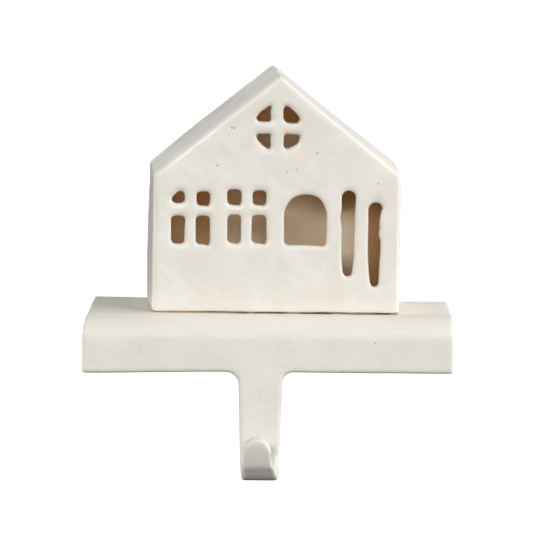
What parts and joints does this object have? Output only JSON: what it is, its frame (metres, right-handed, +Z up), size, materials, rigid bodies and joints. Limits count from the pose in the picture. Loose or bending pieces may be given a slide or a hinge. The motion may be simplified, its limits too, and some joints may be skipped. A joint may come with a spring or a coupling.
{
  "type": "mantel stocking holder",
  "caption": "Ivory stocking holder for a mantel shelf: a cast plate with a front lip and a J-shaped hook, and a hollow ceramic house glued on top.",
  "frame": {"origin": "middle of the felt's underside, the surface that rests on the mantel shelf", "axes": "+X along the shelf to the right as the picture shows it, +Y into the shelf and away from the room, +Z up; the lip and the hook hang below the origin, in front of the shelf's edge"},
  "size_m": [0.15, 0.0897, 0.1628],
  "materials": {
    "ivory_paint": "satin",
    "ivory_glaze": "satin glaze",
    "brown_glue": "matte",
    "felt": "matte"
  },
  "bodies": {
    "root": {"base_casting": "ivory_paint", "ceramic_house": "ivory_glaze", "house_glue_line": "brown_glue", "mantel_felt": "felt"}
  },
  "joints": []
}
